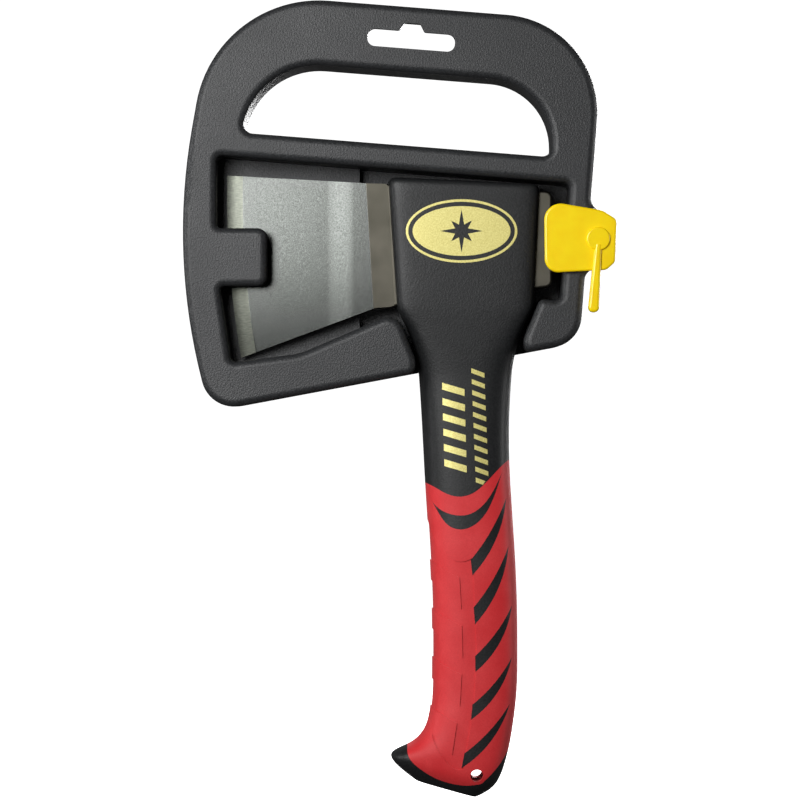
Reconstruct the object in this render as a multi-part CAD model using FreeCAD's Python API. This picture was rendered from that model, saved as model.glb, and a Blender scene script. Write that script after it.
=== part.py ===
import FreeCAD, Part
import math
import os

# A camping hatchet carried in a moulded plastic case, in millimetres.
# X runs along the head from the cutting edge to the poll, Y runs from the front to the back,
# and Z is up. The origin is the middle of the hang slot, half way through the case.
# "Case" coordinates (u, w) are X and Z turned by CASE_TILT about Y: the case hangs level in
# them, while the axe stands upright in X and Z.

V = FreeCAD.Vector

# ---- carry case ----
CASE_TILT = 4.5             # degrees, how far the case leans against the axe
WALL = 2.0                  # moulded wall
SLOT_TO_TOP = 12.2          # hang slot's middle to the top edge
SLOT_TO_SIDE = 70.1         # hang slot's middle to the poll side
TOP_BAR = 23.7              # carry handle, top edge to hand opening
OPENING_HEIGHT = 26.9       # hand opening
CROSS_BAR = 8.9             # bar between the hand opening and the tray
POLL_RIM = 8.1              # rim beside the poll
FRONT_ROUND = 2.6           # rounding of the front rims
BACK_ROUND = 1.6            # rounding of the back rims
TOP_POLL_CORNER = 36.0      # outline radius over the poll
TOP_EDGE_CORNER = 45.5      # outline radius over the cutting edge
EDGE_SIDE_RADIUS = 218.0    # long arc beside the cutting edge
EDGE_SIDE_LEAN = 5.46       # degrees, lean of that side above the arc
EDGE_RIM = 17.4             # tray to the point where that side's two lines would meet
EDGE_RIM_RISE = 2.2
TIP_RIM = 6.3               # tray's lower corner to the outline's, sideways
FOOT_RIM = 18.5             # and downwards
POLL_ARM = 14.7             # arm under the poll, tray's step to the outline's corner
LOWER_CORNER = 12.0         # outline radius of both lower corners
ARM_END = 3.0               # outline radius of the two arms beside the handle
ARM_LEAST = 4.8             # shortest straight side of an arm, with its roundings
OPENING_EDGE_FOOT = 18.0    # case side to hand opening, cutting edge side, at its foot
OPENING_EDGE_TOP = 21.5     # and at its top
OPENING_POLL_FOOT = 15.6    # the same on the poll side
OPENING_POLL_TOP = 17.6
OPENING_EDGE_RADIUS = 28.0  # hand opening, upper corner over the cutting edge
OPENING_POLL_RADIUS = 24.0  # hand opening, upper corner over the poll
OPENING_LOW_RADIUS = 3.4    # hand opening, lower corners
SLOT_WIDTH = 32.0           # hang slot
SLOT_HEIGHT = 6.4
SLOT_END = 2.8              # corner radius of the hang slot
SLOT_NOTCH = 3.0            # height of the notch over the slot's middle
SLOT_NOTCH_TOP = 5.6        # width of that notch at its top
SLOT_NOTCH_FOOT = 9.2       # and at its foot
SLOT_NOTCH_ROUND = 1.0
SLOT_WEB = 3.0              # thickness of the plate round the slot
POCKET_SIDE = 6.0           # plate left beside the slot, inside the pocket behind it
POCKET_FOOT = 4.4           # plate left below the slot
POCKET_HEAD = 2.4           # plate left over the slot's notch
POCKET_CORNER = 4.0

# ---- tray and its gaps to the axe ----
EYE_GAP = 1.0               # over the eye
POLL_GAP = 3.4              # beside the poll
POLL_FOOT_GAP = 5.1         # below the poll
EDGE_GAP = 3.4              # beside the cutting edge
EDGE_WALL_HEIGHT = 33.9     # straight side wall, above the blade's lower tip
EDGE_WALL_RADIUS = 54.5     # bend below that wall
TIP_GAP = 3.2               # lower tip to the tray's corner, sideways
TIP_FOOT_GAP = 1.9          # and downwards
BELLY_REACH = 22.2          # lower tip to the bend in the tray's lower wall
BELLY_RISE = 1.5
BELLY_RADIUS = 20.0
HEEL_REACH = 0.3            # heel to the top of the hump below it
HEEL_GAP = 1.6
HEEL_RADIUS = 6.0
SHOULDER_GAP = 7.1          # height of the neck's side wall over the neck, cutting edge side
FAR_SHOULDER_GAP = 18.6     # and poll side
SHOULDER_RADIUS = 8.0
NECK_GAP = 1.9              # beside the neck, cutting edge side
NECK_FAR_GAP = 3.2          # beside the neck, poll side
STEP_GAP = 1.8              # beside the eye's lower corner
EYE_FLOOR_GAP = 0.5         # behind the eye
BLADE_FLOOR_GAP = 2.0       # behind the blade, where the steel is thickest
FLOOR_STEP_GAP = 2.6        # ramp to the step in the tray's floor
TRAY_CORNER = 2.2           # corner radius of the tray
TONGUE_HEIGHT = 21.2        # tongue that holds the blade down
TONGUE_REACH = 18.5
TONGUE_DROP = 19.9          # tongue's top below the top of the cutting edge
TONGUE_DEPTH = 8.0          # front face to the tongue's inner face
TONGUE_CORNER = 3.6
TONGUE_ROOT = 1.6

# ---- head ----
HEAD_LENGTH = 119.5         # poll face to the top of the cutting edge
EDGE_HEIGHT = 67.2          # cutting edge, top to lower tip
EDGE_RISE = 1.1             # top of the cutting edge over the eye's top
EDGE_RADIUS = 345.0         # cutting edge arc, seen from the front
EDGE_CENTRE_DROP = 7.9      # centre of that arc, below the top of the cutting edge
EDGE_WIDTH = 0.3            # thickness left along the cutting edge
EDGE_SWEEP = 40.0           # degrees, how much of the bevels' round is drawn
BEVEL_WIDTH = 5.8
BEVEL_THICKNESS = 2.6       # steel where the bevel starts
BLADE_THICKNESS = 9.0       # steel beside the ramp
HEAD_THICKNESS = 16.0       # steel in the eye and at the poll
RAMP_LENGTH = 7.8           # ramp from the blade to the eye
HEAD_LEAN = 3.4             # degrees, lean of the ramp against the axe's own upright
HEEL_DROP = 45.4            # blade's heel below the eye's poll-side top corner
POLL_PROUD = 4.4            # poll beyond the eye
POLL_TOP_DROP = 2.7         # top of the poll below the eye's corner
POLL_HEIGHT = 34.9
POLL_CORNER = 2.5
POLL_EDGE_ROUND = 0.9
LOCK_HOLE = 14.0            # hole in the steel that the handle's plastic fills

# ---- handle ----
EYE_WIDTH = 56.0
EYE_HEIGHT = 44.9           # eye's poll-side top corner to its shoulders
EYE_DEPTH = 25.0
EYE_TOP_RISE = 2.4          # rise of the eye's top towards the blade
EYE_TAPER_BLADE = 3.2       # how far each side of the eye comes in on its way down
EYE_TAPER_POLL = 2.2
EYE_TOP_ROUND = 3.2
EYE_CORNER = 4.5            # corner radius in plan
SHOULDER_HEIGHT = 27.0      # shoulders, eye to neck
SHOULDER_EASE = 1.8         # how fast the shoulders draw in
SHOULDER_SECTIONS = 5
NECK_WIDTH = 33.9
NECK_OFFSET = 27.35         # neck's middle to the eye's poll side
NECK_DEPTH = 22.6
NECK_CORNER = 9.4           # corner radius in plan
NECK_RUN = 0.25             # share of the grip over which the neck narrows
NECK_DEEPEN = 1 / 3         # share of the grip over which the neck grows deeper
GRIP_LENGTH = 113.2         # neck to butt
GRIP_WIDTH = 31.5
GRIP_DEPTH = 24.6
GRIP_CORNER = 10.4          # corner radius in plan
GRIP_SWAY = 3.5             # sideways sweep of the grip
SWAY_START = 0.1            # share of the grip where the sweep starts
SWAY_RUN = 0.7              # share of the grip that it takes
GRIP_SECTIONS = 8
GRIP_LEAN_ONSET = 8         # how late the grip's sections start to lean towards the hook
BUTT_DEPTH = 25.4
BUTT_HOOK = 15.2            # hook's reach past the grip, on the cutting edge side
BUTT_HEIGHT = 40.2          # butt, grip to lowest point
# The butt's sections: the left point's share of the hook's reach and of the butt's height, the
# right point's distance in (mm) and share of the height, and the shares of the butt's depth and
# of the grip's corner radius.
BUTT_SECTIONS = [
    (0.04, 0.19, 1.3, 0.28, 1.0, 1.0),
    (0.16, 0.40, 2.6, 0.50, 1.02, 1.0),
    (0.56, 0.53, 4.2, 0.66, 1.03, 0.95),
    (1.04, 0.58, 5.9, 0.80, 1.03, 0.9),
    (1.04, 0.67, 8.9, 0.935, 0.97, 0.85),
    (0.42, 0.84, 15.0, 1.0, 0.62, 0.55),
]
CORE_WIDTH = 16.0           # glass-fibre core
CORE_DEPTH = 10.0
CORE_CORNER = 3.6
CORE_HEAD_GAP = 3.0         # plastic between the core and the head
CORE_BUTT_GAP = 26.0        # plastic between the core and the lowest point
CORE_SECTIONS = 10
SKIN = 1.8                  # thickness of the soft grip
RELIEF = 0.45               # depth of the grip's relief panels
LANYARD_RADIUS = 2.3
LANYARD_LINING = 1.1        # soft lining of the lanyard hole
LANYARD_RISE = 8.6          # hole above the lowest point
LANYARD_INSET = 0.55        # hole from the grip's middle line

# ---- pattern of the soft grip ----
# Points are given across in grip widths from the neck's middle, and along: 0 at the neck, 1 where
# the butt starts and 2 at the lowest point.
GRIP_TOP = [(-0.471, 0.333), (-0.347, 0.349), (-0.222, 0.368), (-0.084, 0.377),
            (0.068, 0.368), (0.207, 0.339), (0.345, 0.299), (0.496, 0.260)]
GRIP_FOOT = [(-0.679, 1.525), (-0.641, 1.642), (-0.552, 1.711), (-0.375, 1.803),
             (-0.168, 1.861), (0.010, 1.879), (0.172, 1.856), (0.305, 1.769),
             (0.408, 1.676), (0.483, 1.583)]
CRESCENT_FOOT = [(-0.395, 0.391), (-0.292, 0.441), (-0.181, 0.474), (-0.042, 0.483),
                 (0.123, 0.464), (0.289, 0.403), (0.428, 0.297)]
CRESCENT_TOP = [(-0.395, 0.391), (-0.250, 0.426), (-0.112, 0.437), (0.026, 0.435),
                (0.179, 0.410), (0.317, 0.360), (0.428, 0.297)]
# each stripe's pointed tip, upper corner and lower corner
STRIPES = [((0.472, 0.382), (0.057, 0.582), (0.077, 0.631)),
           ((0.499, 0.538), (0.091, 0.735), (0.108, 0.789)),
           ((0.540, 0.730), (0.108, 0.892), (0.113, 0.943)),
           ((0.540, 0.897), (0.077, 1.138), (0.060, 1.275)),
           ((0.516, 1.135), (-0.016, 1.580), (-0.050, 1.714))]
STRIPE_TOP_BULGE = 1.1      # mm, how far a stripe's two long sides bow out
STRIPE_FOOT_BULGE = 2.6
PANEL_TOP = [(-0.80, 0.40), (-0.446, 0.451), (-0.393, 0.497), (-0.312, 0.538),
             (-0.220, 0.567), (-0.127, 0.584), (-0.046, 0.587), (0.080, 0.574)]
PANEL_FOOT = [(-0.80, 1.10), (-0.405, 1.362), (-0.370, 1.471), (-0.301, 1.580),
              (-0.220, 1.662), (-0.150, 1.712), (-0.030, 1.728)]
PANEL_LAP = 0.02            # grip widths, how far the panel reaches into the stripes
LEAVES = 4
LEAF_PITCH = 17.75          # mm along the grip
LEAF_FIRST = 72.2           # neck to the first leaf's upper corner
LEAF_HEIGHT = 11.6
LEAF_SWEEP_TOP = 17.2       # how far a leaf's sides climb towards the cutting edge side
LEAF_SWEEP_FOOT = 27.5
LEAF_REACH = 4.5            # stripes' ends to the leaves
LEAF_BOW = 0.55             # share of that climb reached half way along
GRIP_PAST = 1.2             # grip widths, beyond the grip's sides
GRIP_FOOT_SIDE = 1.4        # along, where the soft grip's lower edge leaves the sides

# ---- latch ----
PIVOT_OUT = 3.5             # pivot outside the case's side
PIVOT_DROP = 19.8           # pivot below the tray's top
LUG_RADIUS = 5.2            # lug around the pivot
LUG_REACH = 13.2            # half length of the lug along the case's side
LUG_ROUND = 8.0
LUG_DEPTH = 8.0
LATCH_GAP = 0.3             # between the case's face and the plate
PLATE_THICKNESS = 3.0
PLATE_ROUND = 0.8
PLATE_HOLD = 3.3            # plate's reach over the poll
PLATE_TOP = 14.0            # pivot to the plate's upper corner over the poll
PLATE_TOP_RADIUS = 6.0
PLATE_FOOT = 12.5           # pivot to the plate's lower corner over the poll
PLATE_FOOT_DRAW = 0.3       # how far that corner stays behind the upper one
PLATE_FOOT_RADIUS = 5.0
# the plate's other corners: sideways and up from the pivot, and their radii
PLATE_CORNERS = [(1.5, 10.4, 8.0), (6.8, 7.0, 2.5), (6.2, -8.5, 3.0), (3.0, -11.3, 3.0)]
DISC_RADIUS = 4.25
DISC_HEIGHT = 1.0
TAIL_LENGTH = 26.8          # pivot to the tail's tip
TAIL_WIDTH = 4.1
TAIL_ROOT_WIDTH = 2.6
TAIL_HEIGHT = 4.2
TAIL_TIP_ROUND = 1.85
TAIL_ROUND = 1.04           # rounding along the tail
TAIL_LEAN = 1.8             # sideways lean of the tail at its tip
BOSS_RADIUS = 3.0
BOSS_FIT = 0.05             # radial clearance of the boss in the lug
BOSS_PLAY = 0.2             # boss beyond the lug, so that the latch turns freely
WASHER_RADIUS = 4.0
WASHER_THICKNESS = 0.8
WASHER_HOLE = 1.7
WELL_GAP = 0.4              # round the washer, in the case's side
SCREW_RADIUS = 1.5
SCREW_LENGTH = 8.0
SCREW_HEAD_RADIUS = 2.75
SCREW_HEAD_HEIGHT = 2.0
SCREW_FIT = 0.03            # radial clearance of the screw in the boss
CROSS_RECESS = 2.6          # length of each slot of the cross recess
CROSS_RECESS_WIDTH = 0.7
CROSS_RECESS_DEPTH = 1.1

PAST = 5.0                  # how far a cutter runs past what it cuts
CLEAR = 1.0                 # the same inside the latch's small pieces
FAR = 300.0                 # longer than any piece
TINY = 1e-3
CORNER_PULL = 0.19          # draws a control point in, so that the corner is nearly round

TILT = math.radians(CASE_TILT)
EYE_FLOOR = max(EYE_DEPTH, NECK_DEPTH) / 2 + EYE_FLOOR_GAP
BLADE_FLOOR = BLADE_THICKNESS / 2 + BLADE_FLOOR_GAP
BACK = EYE_FLOOR + WALL
FRONT = -BACK
AXIS_Y = V(0, 1, 0)


def to_case(x, z):
    """Case coordinates of a point in X and Z."""
    return (x * math.cos(TILT) - z * math.sin(TILT), x * math.sin(TILT) + z * math.cos(TILT))


def to_model(u, w):
    """X and Z of a point in case coordinates."""
    return (u * math.cos(TILT) + w * math.sin(TILT), w * math.cos(TILT) - u * math.sin(TILT))


def rounded_wire(corners, y):
    """Closed outline in the plane Y = y. A corner is (x, z, radius), 0 for a sharp one."""
    bends = []
    for i, (x, z, radius) in enumerate(corners):
        here = V(x, y, z)
        before = corners[i - 1]
        after = corners[(i + 1) % len(corners)]
        back = (V(before[0], y, before[1]) - here).normalize()
        on = (V(after[0], y, after[1]) - here).normalize()
        half = back.getAngle(on) / 2
        run = radius / math.tan(half)
        reach = radius / math.sin(half) - radius
        middle = here + (back + on).normalize() * reach
        bends.append((here + back * run, middle, here + on * run, radius))
    edges = []
    for i, (start, middle, end, radius) in enumerate(bends):
        if radius:
            edges.append(Part.Arc(start, middle, end).toShape())
        following = bends[(i + 1) % len(bends)][0]
        if end.distanceToPoint(following) > TINY:
            edges.append(Part.LineSegment(end, following).toShape())
    return Part.Wire(edges)


def prism(corners, y_from, y_to):
    """Solid between two planes across Y, with a rounded outline."""
    face = Part.Face(rounded_wire(corners, y_from))
    return face.extrude(V(0, y_to - y_from, 0))


def inset(corners, distance, y_from, y_to):
    """The same solid with its outline drawn in, or out where distance is negative."""
    face = Part.Face(rounded_wire(corners, y_from)).makeOffset2D(-distance)
    return face.extrude(V(0, y_to - y_from, 0))


def cylinder(x, z, radius, y_from, y_to):
    return Part.makeCylinder(radius, y_to - y_from, V(x, y_from, z), AXIS_Y)


def in_case(shape):
    """Turns a solid drawn in case coordinates into the model's X and Z."""
    return shape.rotate(V(0, 0, 0), AXIS_Y, CASE_TILT)


def rim_edges(shape, y):
    """Edges that lie in the plane Y = y."""
    found = []
    for edge in shape.Edges:
        box = edge.BoundBox
        if abs(box.YMin - y) < TINY and abs(box.YMax - y) < TINY:
            found.append(edge)
    return found


# ---- where things are ----
TRAY_TOP = SLOT_TO_TOP - TOP_BAR - OPENING_HEIGHT - CROSS_BAR
TRAY_POLL = SLOT_TO_SIDE - POLL_RIM
POLL_LOW_DROP = POLL_TOP_DROP + POLL_HEIGHT
EYE_U = TRAY_POLL - POLL_GAP - POLL_PROUD * math.cos(TILT) - POLL_LOW_DROP * math.sin(TILT)
EYE_W = TRAY_TOP - EYE_GAP
EYE_X, EYE_Z = to_model(EYE_U, EYE_W)   # the eye's poll-side top corner
POLL_X = EYE_X + POLL_PROUD
EDGE_TOP_X = POLL_X - HEAD_LENGTH
EDGE_TOP_Z = EYE_Z + EYE_TOP_RISE + EDGE_RISE
EDGE_CENTRE_Z = EDGE_TOP_Z - EDGE_CENTRE_DROP
EDGE_CENTRE_X = EDGE_TOP_X + math.sqrt(EDGE_RADIUS ** 2 - EDGE_CENTRE_DROP ** 2)
TIP_Z = EDGE_TOP_Z - EDGE_HEIGHT
TIP_X = EDGE_CENTRE_X - math.sqrt(EDGE_RADIUS ** 2 - (EDGE_CENTRE_Z - TIP_Z) ** 2)
EYE_BLADE_X = EYE_X - EYE_WIDTH         # the eye's blade side, at its top
HEEL_X = EYE_BLADE_X + EYE_TAPER_BLADE  # where the blade's lower edge meets the eye
HEEL_Z = EYE_Z - HEEL_DROP
NECK_X = EYE_X - NECK_OFFSET
NECK_Z = EYE_Z - EYE_HEIGHT - SHOULDER_HEIGHT
GRIP_END_X = NECK_X + GRIP_SWAY
GRIP_END_Z = NECK_Z - GRIP_LENGTH
BUTT_Z = GRIP_END_Z - BUTT_HEIGHT
LANYARD_X = GRIP_END_X + LANYARD_INSET
LANYARD_Z = BUTT_Z + LANYARD_RISE
PIVOT_U = SLOT_TO_SIDE + PIVOT_OUT
PIVOT_W = TRAY_TOP - PIVOT_DROP
PIVOT_X, PIVOT_Z = to_model(PIVOT_U, PIVOT_W)
OPENING_TOP = SLOT_TO_TOP - TOP_BAR
OPENING_FOOT = OPENING_TOP - OPENING_HEIGHT
TRAY_EDGE_X = EDGE_TOP_X - EDGE_GAP
EDGE_WALL_Z = TIP_Z + EDGE_WALL_HEIGHT
TIP_CORNER_X = TIP_X - TIP_GAP
TIP_CORNER_Z = TIP_Z - TIP_FOOT_GAP
FLOOR_STEP_X = EYE_BLADE_X - RAMP_LENGTH - FLOOR_STEP_GAP
NECK_U = to_case(NECK_X - NECK_WIDTH / 2, NECK_Z)[0] - NECK_GAP
NECK_W = to_case(NECK_X - NECK_WIDTH / 2, NECK_Z)[1]
NECK_FAR_U = to_case(NECK_X + NECK_WIDTH / 2, NECK_Z)[0] + NECK_FAR_GAP
STEP_U = to_case(EYE_X - EYE_TAPER_POLL, EYE_Z - EYE_HEIGHT)[0] + STEP_GAP
STEP_W = to_case(POLL_X, EYE_Z - POLL_LOW_DROP)[1] - POLL_FOOT_GAP


# ---- outlines in case coordinates ----
def edge_side(w):
    """Straight upper part of the case's side beside the cutting edge, as u at a height w."""
    bend = to_case(TRAY_EDGE_X, EDGE_WALL_Z)
    lean = math.tan(math.radians(EDGE_SIDE_LEAN))
    return bend[0] - EDGE_RIM + (w - bend[1] - EDGE_RIM_RISE) * lean


def between(first, last, u):
    """Height at u of the line through two points."""
    return first[1] + (u - first[0]) * (last[1] - first[1]) / (last[0] - first[0])


def foot_corners():
    """The outline's two lower corners, let down where an arm beside the neck would be too
    short for its roundings."""
    tip = to_case(TIP_CORNER_X, TIP_CORNER_Z)
    edge = (tip[0] - TIP_RIM, tip[1] - FOOT_RIM)
    poll = (SLOT_TO_SIDE, STEP_W - POLL_ARM)
    arm = NECK_W + SHOULDER_GAP - between(edge, poll, NECK_U)
    far_arm = NECK_W + FAR_SHOULDER_GAP - between(edge, poll, NECK_FAR_U)
    drop = max(0, ARM_LEAST - min(arm, far_arm))
    return (edge[0], edge[1] - drop), (poll[0], poll[1] - drop)


def outer_corners(lug):
    """The case's outline from its lower poll corner round to its lower edge corner."""
    bend_w = to_case(TRAY_EDGE_X, EDGE_WALL_Z)[1] + EDGE_RIM_RISE
    edge, poll = foot_corners()
    side = SLOT_TO_SIDE
    corners = [(side, poll[1], LOWER_CORNER)]
    if lug:
        out = PIVOT_U + LUG_RADIUS
        near = LUG_RADIUS
        corners.append((side, PIVOT_W - LUG_REACH, LUG_ROUND / 2))
        corners.append((out, PIVOT_W - near, LUG_ROUND))
        corners.append((out, PIVOT_W + near, LUG_ROUND))
        corners.append((side, PIVOT_W + LUG_REACH, LUG_ROUND / 2))
    corners.append((side, SLOT_TO_TOP, TOP_POLL_CORNER))
    corners.append((edge_side(SLOT_TO_TOP), SLOT_TO_TOP, TOP_EDGE_CORNER))
    corners.append((edge_side(bend_w), bend_w, EDGE_SIDE_RADIUS))
    corners.append((edge[0], edge[1], LOWER_CORNER))
    return corners


def foot_w(u):
    """Height of the case's straight lower edge at u."""
    return between(*foot_corners(), u)


def tray_corners(tongue):
    """The tray's wall from the neck's cutting edge side round to its poll side."""
    belly = to_case(TIP_X + BELLY_REACH, TIP_Z + BELLY_RISE)
    heel = to_case(HEEL_X + HEEL_REACH, HEEL_Z - HEEL_GAP)
    tip = to_case(TIP_CORNER_X, TIP_CORNER_Z)
    wall = to_case(TRAY_EDGE_X, EDGE_WALL_Z)
    wall_top_z = (TRAY_TOP - TRAY_EDGE_X * math.sin(TILT)) / math.cos(TILT)
    corners = [
        (NECK_U, NECK_W + SHOULDER_GAP, SHOULDER_RADIUS),
        (heel[0], heel[1], HEEL_RADIUS),
        (belly[0], belly[1], BELLY_RADIUS),
        (tip[0], tip[1], TRAY_CORNER),
    ]
    if tongue:
        corners += tongue_corners()
    else:
        corners.append((wall[0], wall[1], EDGE_WALL_RADIUS))
    corners += [
        (to_case(TRAY_EDGE_X, wall_top_z)[0], TRAY_TOP, TRAY_CORNER),
        (TRAY_POLL, TRAY_TOP, TRAY_CORNER),
        (TRAY_POLL, STEP_W, TRAY_CORNER),
        (STEP_U, STEP_W, TRAY_CORNER),
        (NECK_FAR_U, NECK_W + FAR_SHOULDER_GAP, SHOULDER_RADIUS),
    ]
    return corners


def tongue_corners():
    """The tongue's outline, from its lower root to its upper root."""
    top = EDGE_TOP_Z - TONGUE_DROP
    foot = top - TONGUE_HEIGHT
    slope = (TIP_CORNER_X - TRAY_EDGE_X) / (TIP_CORNER_Z - EDGE_WALL_Z)
    foot_x = TRAY_EDGE_X + slope * min(0, foot - EDGE_WALL_Z)
    end = TRAY_EDGE_X + TONGUE_REACH
    points = [
        (foot_x, foot, TONGUE_ROOT),
        (end, foot, TONGUE_CORNER),
        (end, top, TONGUE_CORNER),
        (TRAY_EDGE_X, top, TONGUE_ROOT),
    ]
    return [to_case(x, z) + (radius,) for x, z, radius in points]


def frame_corners(tongue, lug):
    """The case's rim as one outline: round the outside, then back along the tray's wall."""
    neck = (NECK_U, foot_w(NECK_U), ARM_END)
    far = (NECK_FAR_U, foot_w(NECK_FAR_U), ARM_END)
    return [far] + outer_corners(lug) + [neck] + tray_corners(tongue)


def open_tray_corners():
    """The tray closed by a line well below the case."""
    low = foot_w(NECK_U) - 4 * PAST
    return [(NECK_FAR_U, low, 0), (NECK_U, low, 0)] + tray_corners(False)


def hand_opening_corners():
    return [
        (edge_side(OPENING_FOOT) + OPENING_EDGE_FOOT, OPENING_FOOT, OPENING_LOW_RADIUS),
        (edge_side(OPENING_TOP) + OPENING_EDGE_TOP, OPENING_TOP, OPENING_EDGE_RADIUS),
        (SLOT_TO_SIDE - OPENING_POLL_TOP, OPENING_TOP, OPENING_POLL_RADIUS),
        (SLOT_TO_SIDE - OPENING_POLL_FOOT, OPENING_FOOT, OPENING_LOW_RADIUS),
    ]


def slot_corners():
    """The hang slot: a flat slot with a notch over its middle for a peg."""
    side = SLOT_WIDTH / 2
    low = -SLOT_HEIGHT / 2
    high = SLOT_HEIGHT / 2
    notch = high + SLOT_NOTCH
    return [
        (-side, low, SLOT_END),
        (-side, high, SLOT_END),
        (-SLOT_NOTCH_FOOT / 2, high, SLOT_NOTCH_ROUND),
        (-SLOT_NOTCH_TOP / 2, notch, SLOT_NOTCH_ROUND),
        (SLOT_NOTCH_TOP / 2, notch, SLOT_NOTCH_ROUND),
        (SLOT_NOTCH_FOOT / 2, high, SLOT_NOTCH_ROUND),
        (side, high, SLOT_END),
        (side, low, SLOT_END),
    ]


def pocket_corners():
    """The pocket behind the hang slot's plate."""
    side = SLOT_WIDTH / 2 + POCKET_SIDE
    low = -SLOT_HEIGHT / 2 - POCKET_FOOT
    high = SLOT_HEIGHT / 2 + SLOT_NOTCH + POCKET_HEAD
    return [
        (-side, low, POCKET_CORNER),
        (-side, high, POCKET_CORNER),
        (side, high, POCKET_CORNER),
        (side, low, POCKET_CORNER),
    ]


def beyond(u_from, y_from, y_to):
    """A block on the poll side of u, tall enough for the whole case."""
    return Part.makeBox(FAR, y_to - y_from, 2 * FAR, V(u_from, y_from, -FAR))


def right_of(x, shape):
    """The part of a solid in case coordinates that lies to the poll side of an upright plane."""
    block = Part.makeBox(FAR, 2 * FAR, 2 * FAR, V(x, -FAR, -FAR))
    return shape.common(block.rotate(V(0, 0, 0), AXIS_Y, -CASE_TILT))


# ---- case ----
def case_void(y_from, y_to, tray):
    """The hollow between the case's walls, given the tray's prism grown by a wall."""
    hollow = inset(outer_corners(False), WALL, y_from, y_to)
    hollow = hollow.cut(tray)
    hollow = hollow.cut(inset(hand_opening_corners(), -WALL, y_from - PAST, y_to + PAST))
    return hollow.cut(inset(pocket_corners(), -WALL, y_from - PAST, y_to + PAST))


def hang_slot():
    """Cutter for the hang slot and the pocket behind its plate."""
    slot = prism(slot_corners(), FRONT - PAST, BACK + PAST)
    return slot.fuse(prism(pocket_corners(), FRONT + SLOT_WEB, BACK + PAST))


def sheath_front_shell():
    """Front half of the case: the rims round the tray, the tongue and the latch's lug."""
    shell = prism(frame_corners(True, True), FRONT, 0)
    shell = shell.cut(prism(hand_opening_corners(), FRONT - PAST, PAST))
    shell = shell.makeFillet(FRONT_ROUND, rim_edges(shell, FRONT))
    shell = shell.cut(prism(open_tray_corners(), FRONT + TONGUE_DEPTH, PAST))
    shell = shell.cut(beyond(SLOT_TO_SIDE, FRONT + LUG_DEPTH, PAST))
    shell = shell.cut(hang_slot())
    tray = inset(open_tray_corners(), -WALL, FRONT - PAST, 2 * PAST)
    shell = shell.cut(case_void(FRONT + WALL, PAST, tray))
    shell = shell.cut(tongue_void())
    shell = shell.cut(pivot_hole())
    return in_case(shell)


def tongue_void():
    """The hollow inside the tongue, open to the rim's hollow."""
    top = EDGE_TOP_Z - TONGUE_DROP - WALL
    foot = top - TONGUE_HEIGHT + 2 * WALL
    end = TRAY_EDGE_X + TONGUE_REACH - WALL
    root = TRAY_EDGE_X - 2 * WALL
    depth = TONGUE_DEPTH - 2 * WALL
    hollow = Part.makeBox(end - root, depth, top - foot, V(root, FRONT + WALL, foot))
    return hollow.rotate(V(0, 0, 0), AXIS_Y, -CASE_TILT)


def pivot_hole():
    """The latch's hole through the lug, and the room behind it for the washer."""
    hole = cylinder(PIVOT_U, PIVOT_W, BOSS_RADIUS + BOSS_FIT, FRONT - PAST, 0)
    well = cylinder(PIVOT_U, PIVOT_W, WASHER_RADIUS + WELL_GAP, FRONT + LUG_DEPTH, BACK + PAST)
    return hole.fuse(well)


def sheath_back_shell():
    """Back half of the case: its back wall, the tray's floors and the walls between them."""
    shell = prism(frame_corners(False, False), 0, BACK)
    shell = shell.fuse(prism(outer_corners(False), BACK - WALL, BACK))
    tray = prism(open_tray_corners(), BLADE_FLOOR, BACK)
    floor = tray.cut(right_of(FLOOR_STEP_X, tray))
    shell = shell.fuse(floor).removeSplitter()
    shell = shell.cut(prism(hand_opening_corners(), -PAST, BACK + PAST))
    shell = shell.makeFillet(BACK_ROUND, rim_edges(shell, BACK))
    shell = shell.cut(hang_slot())
    wide = inset(open_tray_corners(), -WALL, -2 * PAST, BACK + PAST)
    deep = right_of(FLOOR_STEP_X - WALL, wide)
    shell = shell.cut(case_void(-PAST, BLADE_FLOOR + WALL, wide))
    shell = shell.cut(case_void(BLADE_FLOOR + WALL, BACK - WALL, deep))
    shell = shell.cut(pivot_hole())
    return in_case(shell)


# ---- head ----
def axe_head():
    """Forged head: blade, ramp, the body inside the eye, and the poll."""
    poll_top = EYE_Z - POLL_TOP_DROP
    poll_foot = poll_top - POLL_HEIGHT
    blade_foot = (TIP_Z - HEEL_Z) / (TIP_X - HEEL_X + RAMP_LENGTH)
    past_x = EDGE_TOP_X - PAST
    outline = [
        (past_x, EDGE_TOP_Z + PAST * (EDGE_TOP_Z - EYE_Z) / EYE_WIDTH, 0),
        (EYE_BLADE_X, EYE_Z, 0),
        (POLL_X, poll_top, POLL_CORNER),
        (POLL_X, poll_foot, POLL_CORNER),
        (HEEL_X + POLL_PROUD, HEEL_Z + POLL_EDGE_ROUND, 0),
        (HEEL_X - RAMP_LENGTH, HEEL_Z, POLL_CORNER),
        (past_x, TIP_Z + (past_x - TIP_X) * blade_foot, 0),
    ]
    head = prism(outline, -HEAD_THICKNESS, HEAD_THICKNESS)
    head = head.common(head_plan()).common(bevelled_edge())
    head = head.makeFillet(POLL_EDGE_ROUND, poll_rim(head))
    centre_x = (EYE_BLADE_X + POLL_X) / 2
    centre_z = (poll_top + poll_foot) / 2
    return head.cut(cylinder(centre_x, centre_z, LOCK_HOLE / 2, -HEAD_THICKNESS, HEAD_THICKNESS))


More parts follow.
